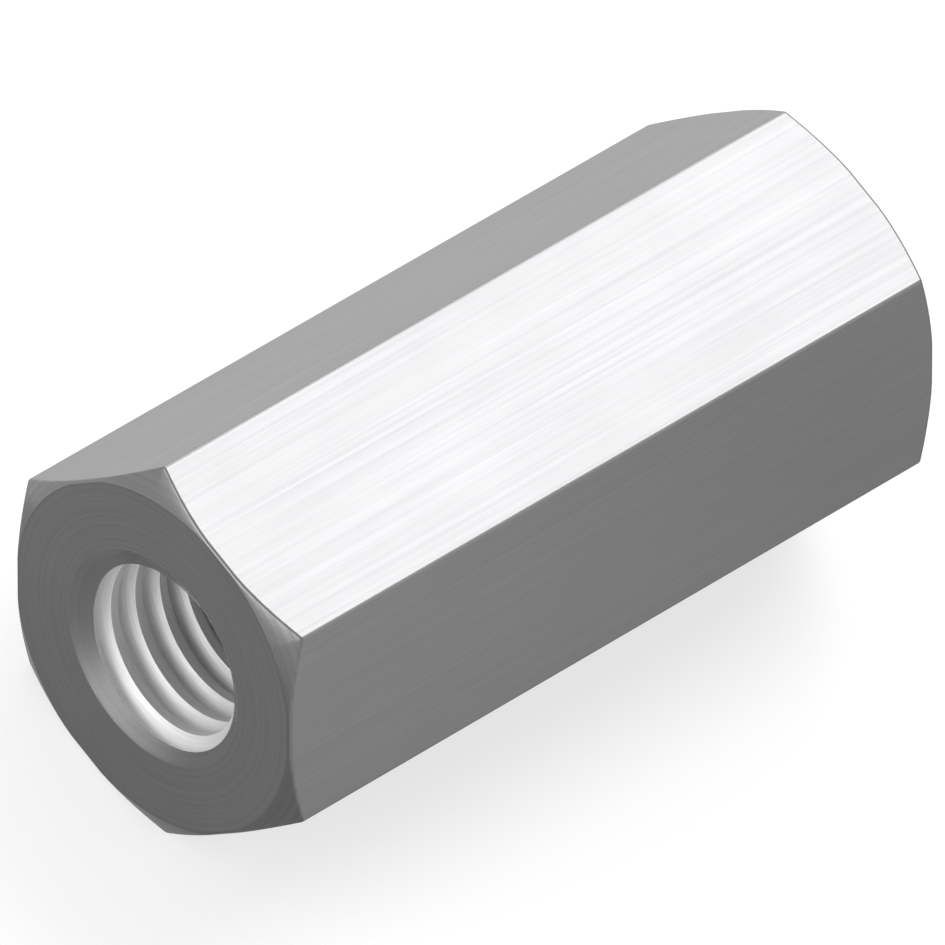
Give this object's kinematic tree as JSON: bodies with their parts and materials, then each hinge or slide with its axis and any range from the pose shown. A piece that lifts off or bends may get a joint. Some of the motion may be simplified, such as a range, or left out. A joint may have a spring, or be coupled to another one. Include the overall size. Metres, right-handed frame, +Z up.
{
  "type": "reducing coupling nut",
  "caption": "Long hexagonal coupling nut with chamfered ends that joins an M10 threaded rod to a larger M12 rod on one axis.",
  "frame": {"origin": "on the thread axis, half-way along the nut, which is the centre of its box", "axes": "+X along the thread axis from the M10 end to the M12 end, +Z up, square to the flat that the nut lies on, +Y across two opposite corners of the hexagon"},
  "size_m": [0.04, 0.0196, 0.017],
  "materials": {
    "steel": "cold-drawn bright hexagon steel, satin, with turned ends and brighter tapped threads"
  },
  "bodies": {
    "root": {"coupling_nut": "steel"}
  },
  "joints": []
}
